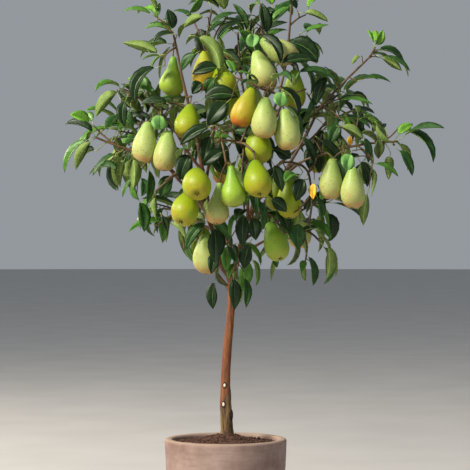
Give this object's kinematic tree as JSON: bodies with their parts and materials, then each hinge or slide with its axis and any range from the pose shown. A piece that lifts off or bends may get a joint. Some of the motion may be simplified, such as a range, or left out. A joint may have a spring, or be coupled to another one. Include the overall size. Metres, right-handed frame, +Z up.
{
  "type": "potted pear tree",
  "caption": "Young pear tree in fruit, grown as a standard in a plain round terracotta pot: thin grafted trunk, rounded open crown of arching leaves, and hanging necked pears.",
  "frame": {"origin": "the middle of the pot's flat underside, on the surface it stands on", "axes": "+Z up the trunk, +X to the viewer's right in the picture's view, the viewer on the -Y side"},
  "size_m": [0.9266, 0.726, 1.4017],
  "materials": {
    "pot": "pale limewashed terracotta, matt, weathered",
    "soil": "moist dark potting soil, crumbly",
    "bark": "young orange-brown bark",
    "foliage": "glossy green leaves and yellow-green pears"
  },
  "bodies": {
    "root": {"pot": "pot", "soil": "soil", "trunk": "bark", "bough_left": "bark", "bough_left_low": "bark", "bough_left_mid": "bark", "bough_top_left": "bark", "bough_right": "bark", "bough_right_low": "bark", "bough_front_high": "bark", "bough_front": "bark", "bough_front_left": "bark", "bough_front_right": "bark", "bough_low_right": "bark", "bough_low_left": "bark", "bough_low_front": "bark", "bough_top_right": "bark", "bough_top_back": "bark", "bough_back_left": "bark", "bough_back": "bark", "bough_back_right": "bark", "bough_back_low_left": "bark", "bough_back_low_right": "bark", "foliage_top": "foliage", "foliage_top_left": "foliage", "foliage_top_right": "foliage", "foliage_top_back": "foliage", "foliage_left_top": "foliage", "foliage_left_mid": "foliage", "foliage_left_low": "foliage", "foliage_right": "foliage", "foliage_right_low": "foliage", "foliage_front_high": "foliage", "foliage_front": "foliage", "foliage_front_left": "foliage", "foliage_front_right": "foliage", "foliage_low_right": "foliage", "foliage_low_left": "foliage", "foliage_low_front": "foliage", "foliage_back_left": "foliage", "foliage_back": "foliage", "foliage_back_right": "foliage", "foliage_back_low_left": "foliage", "foliage_back_low_right": "foliage"}
  },
  "joints": []
}
